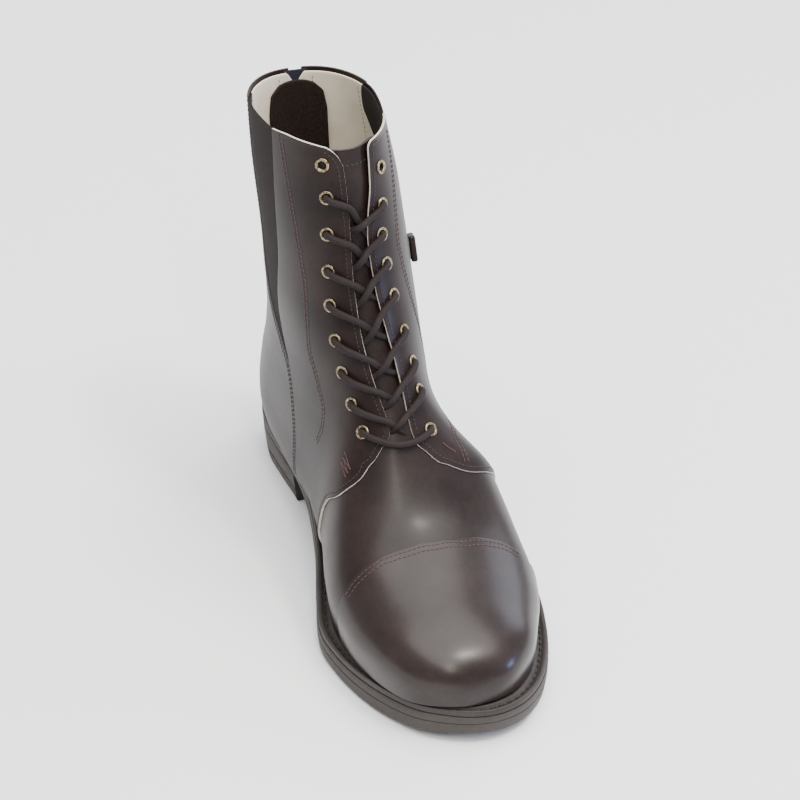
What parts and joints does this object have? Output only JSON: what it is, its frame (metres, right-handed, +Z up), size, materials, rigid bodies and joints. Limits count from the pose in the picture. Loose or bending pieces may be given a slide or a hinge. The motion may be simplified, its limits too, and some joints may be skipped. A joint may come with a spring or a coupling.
{
  "type": "paddock boot",
  "caption": "Left lace-up ankle boot with derby quarters, toe cap, elastic gores, back zip, stitched welt and low heel.",
  "frame": {"origin": "on the floor below the middle of the boot's box", "axes": "+Z up, toe towards -Y, the wearer's medial side towards -X"},
  "size_m": [0.1108, 0.28, 0.2255],
  "materials": {
    "leather": "dark brown smooth leather, satin",
    "cap_leather": "dark brown smooth leather, polished",
    "sole_rubber": "brown-grey rubber, matt",
    "welt": "brown-grey welt, stitched",
    "elastic": "ribbed dark brown elastic",
    "insole": "cream lining leather",
    "lace": "waxed round cord",
    "brass": "antique brass",
    "zip_tape": "dark tape with coil teeth",
    "guard": "brown felt"
  },
  "bodies": {
    "boot": {"back_lateral": "leather", "back_medial": "leather", "eyelet_l1": "brass", "eyelet_l2": "brass", "eyelet_l3": "brass", "eyelet_l4": "brass", "eyelet_l5": "brass", "eyelet_l6": "brass", "eyelet_l7": "brass", "eyelet_l8": "brass", "eyelet_l9": "brass", "eyelet_m1": "brass", "eyelet_m2": "brass", "eyelet_m3": "brass", "eyelet_m4": "brass", "eyelet_m5": "brass", "eyelet_m6": "brass", "eyelet_m7": "brass", "eyelet_m8": "brass", "eyelet_m9": "brass", "gore_lateral": "elastic", "gore_medial": "elastic", "heel": "sole_rubber", "insole": "insole", "lace_1": "lace", "lace_2": "lace", "lace_3": "lace", "lace_4": "lace", "lace_5": "lace", "lace_6": "lace", "lace_7": "lace", "lace_8": "lace", "outsole": "sole_rubber", "quarter_lateral": "leather", "quarter_medial": "leather", "side_tab": "leather", "toe_cap": "cap_leather", "tongue": "leather", "upper": "leather", "welt": "welt", "zip_guard": "guard", "zip_slider": "brass", "zip_teeth": "zip_tape"},
    "pull": {"zip_pull": "brass"}
  },
  "joints": [
    {"name": "pull_hinge", "type": "hinge", "parent": "boot", "child": "pull", "pos_m": [-0.01896, 0.12158, 0.21349], "axis": [0.9997, 0.0004, 0.0245], "range_deg": [0, 150]}
  ]
}
